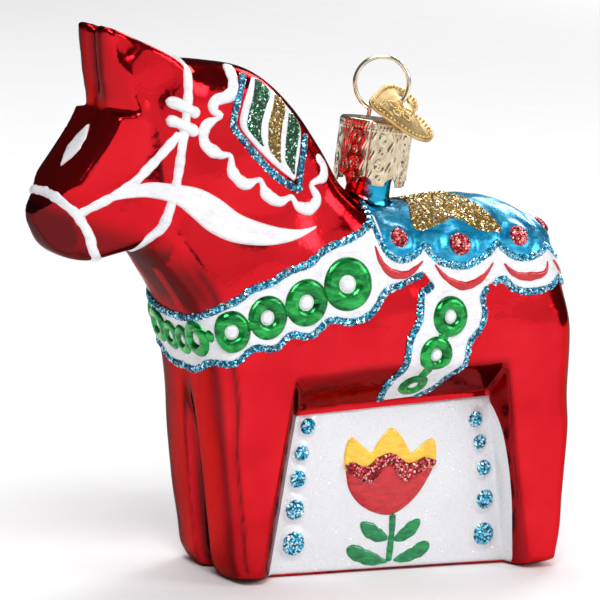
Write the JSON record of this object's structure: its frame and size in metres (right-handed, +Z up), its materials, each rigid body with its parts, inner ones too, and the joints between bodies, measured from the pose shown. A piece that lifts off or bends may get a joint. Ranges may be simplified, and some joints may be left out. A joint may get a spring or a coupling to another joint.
{
  "type": "dala horse ornament",
  "caption": "Hollow blown glass dala horse with a folk bridle, collar, saddle cloth and tulip panel, hung from a stamped cap with a wire loop and a heart charm.",
  "frame": {"origin": "on the surface the feet stand on, below the middle of the horse's length and width", "axes": "+X toward the tail, the nose points to -X; -Y is the flank on the horse's left; +Z up"},
  "size_m": [0.1019, 0.0308, 0.0924],
  "materials": {
    "lacquered_glass": "silvered inside, clear red lacquer outside, mirror-like",
    "cap_sheet": "stamped thin sheet, champagne gold plating",
    "hanger_wire": "bright drawn wire with a pale gold tint",
    "charm_sheet": "stamped sheet, satin",
    "white_enamel": "hand-laid glossy enamel",
    "pearl_enamel": "satin white with fine clear sparkle",
    "yellow_enamel": "glossy enamel",
    "red_enamel": "glossy enamel",
    "green_enamel": "glossy enamel",
    "emerald_lacquer": "clear green lacquer over raised silvered glass",
    "blue_lacquer": "clear turquoise blue lacquer over silvered glass",
    "blue_glitter": "glitter flakes in glue",
    "green_glitter": "glitter flakes in glue",
    "gold_glitter": "glitter flakes in glue",
    "red_glitter": "glitter flakes in glue"
  },
  "bodies": {
    "glass": {"glass_body": "lacquered_glass", "bridle_straps": "white_enamel", "rein": "white_enamel", "face_blaze": "white_enamel", "mane_scallops": "white_enamel", "mane_white_lines": "white_enamel", "mane_glitter_border": "blue_glitter", "mane_green_stripes": "green_glitter", "mane_gold_stripe": "gold_glitter", "collar_band": "white_enamel", "collar_rings": "emerald_lacquer", "collar_dots": "white_enamel", "collar_glitter_edges": "blue_glitter", "girth_band": "white_enamel", "girth_rings": "emerald_lacquer", "girth_dots": "white_enamel", "girth_glitter_edges": "blue_glitter", "saddle_cloth": "blue_lacquer", "saddle_gold_patch": "gold_glitter", "saddle_dots": "red_glitter", "saddle_border": "white_enamel", "saddle_crescents": "red_enamel", "saddle_glitter_edge": "blue_glitter", "panel_ground": "pearl_enamel", "panel_dots": "blue_glitter", "tulip_petals": "yellow_enamel", "tulip_cup": "red_enamel", "tulip_glitter": "red_glitter", "tulip_leaves": "green_enamel"},
    "cap": {"cap": "cap_sheet"},
    "hanger": {"hanger_wire": "hanger_wire"},
    "charm": {"heart_charm": "charm_sheet"}
  },
  "joints": [
    {"name": "cap_lift", "type": "slide", "parent": "glass", "child": "cap", "axis": [0.0698, 0, 0.9976], "range_m": [0, 0.014]},
    {"name": "hanger_pull", "type": "slide", "parent": "cap", "child": "hanger", "axis": [0.0698, 0, 0.9976], "range_m": [0, 0.005]},
    {"name": "charm_swing", "type": "hinge", "parent": "hanger", "child": "charm", "pos_m": [0.01679, -0.00181, 0.08121], "axis": [0.5048, -0.227, 0.8328], "range_deg": [-45, 25]}
  ]
}
